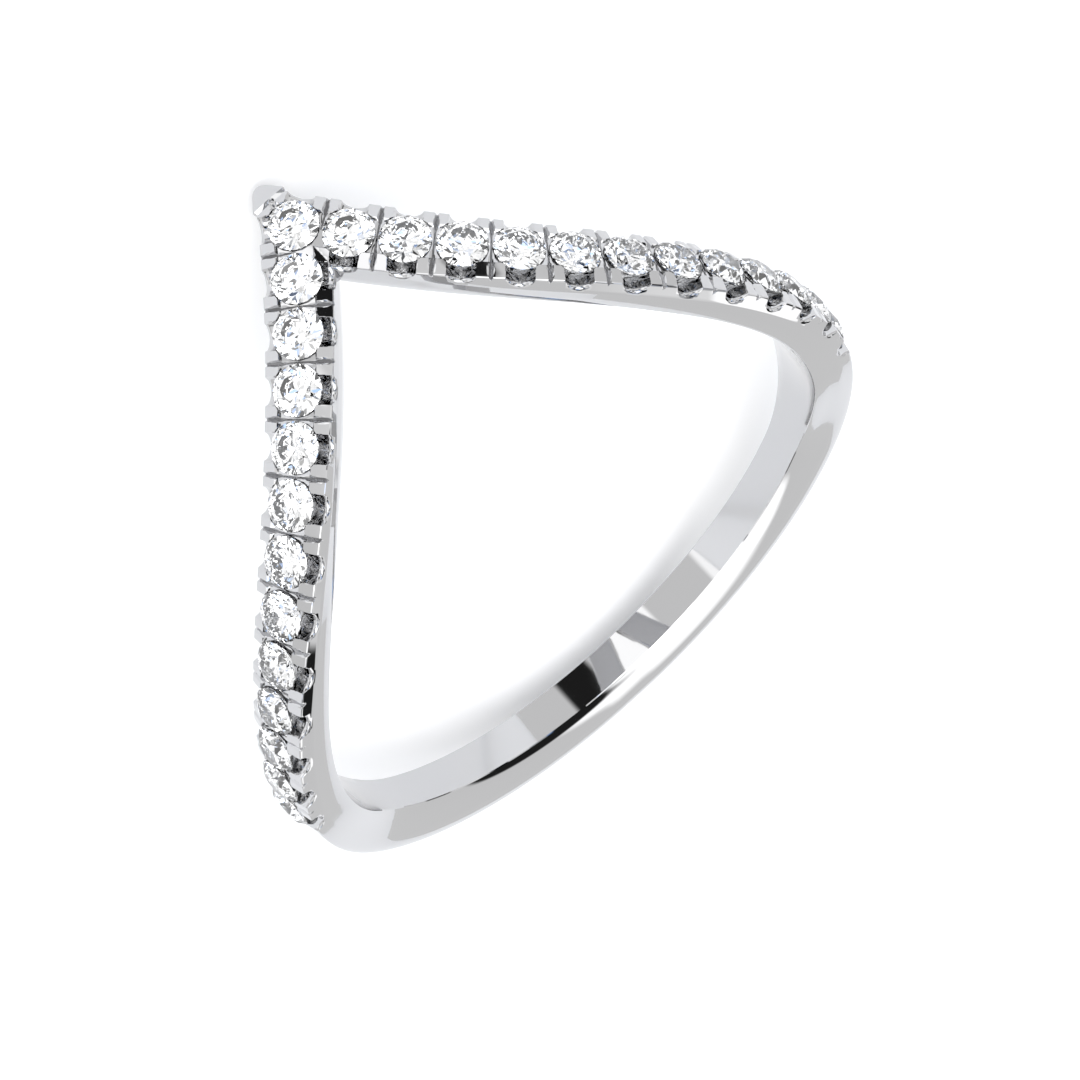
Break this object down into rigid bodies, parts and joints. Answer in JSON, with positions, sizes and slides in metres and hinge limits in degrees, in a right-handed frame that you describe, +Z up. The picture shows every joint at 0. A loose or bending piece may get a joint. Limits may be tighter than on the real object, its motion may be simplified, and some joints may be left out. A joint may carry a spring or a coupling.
{
  "type": "finger ring",
  "caption": "Chevron ring: a polished white metal band whose arms rise to a point, with small round stones set over the point and down both arms.",
  "frame": {"origin": "centre of the overall box's base, on the table that the ring lies on", "axes": "+Z up from the table, the point of the chevron towards -Y and touching the table, the back of the shank towards +Y, X across the ring"},
  "size_m": [0.0202, 0.0224, 0.0074],
  "materials": {
    "white_gold": "cast and mirror polished white gold",
    "diamond": "cut and polished clear stone"
  },
  "bodies": {
    "root": {"band": "white_gold", "stone_point": "diamond", "stone_right_01": "diamond", "stone_right_02": "diamond", "stone_right_03": "diamond", "stone_right_04": "diamond", "stone_right_05": "diamond", "stone_right_06": "diamond", "stone_right_07": "diamond", "stone_right_08": "diamond", "stone_right_09": "diamond", "stone_right_10": "diamond", "stone_right_11": "diamond", "stone_right_12": "diamond", "stone_left_01": "diamond", "stone_left_02": "diamond", "stone_left_03": "diamond", "stone_left_04": "diamond", "stone_left_05": "diamond", "stone_left_06": "diamond", "stone_left_07": "diamond", "stone_left_08": "diamond", "stone_left_09": "diamond", "stone_left_10": "diamond", "stone_left_11": "diamond", "stone_left_12": "diamond"}
  },
  "joints": []
}
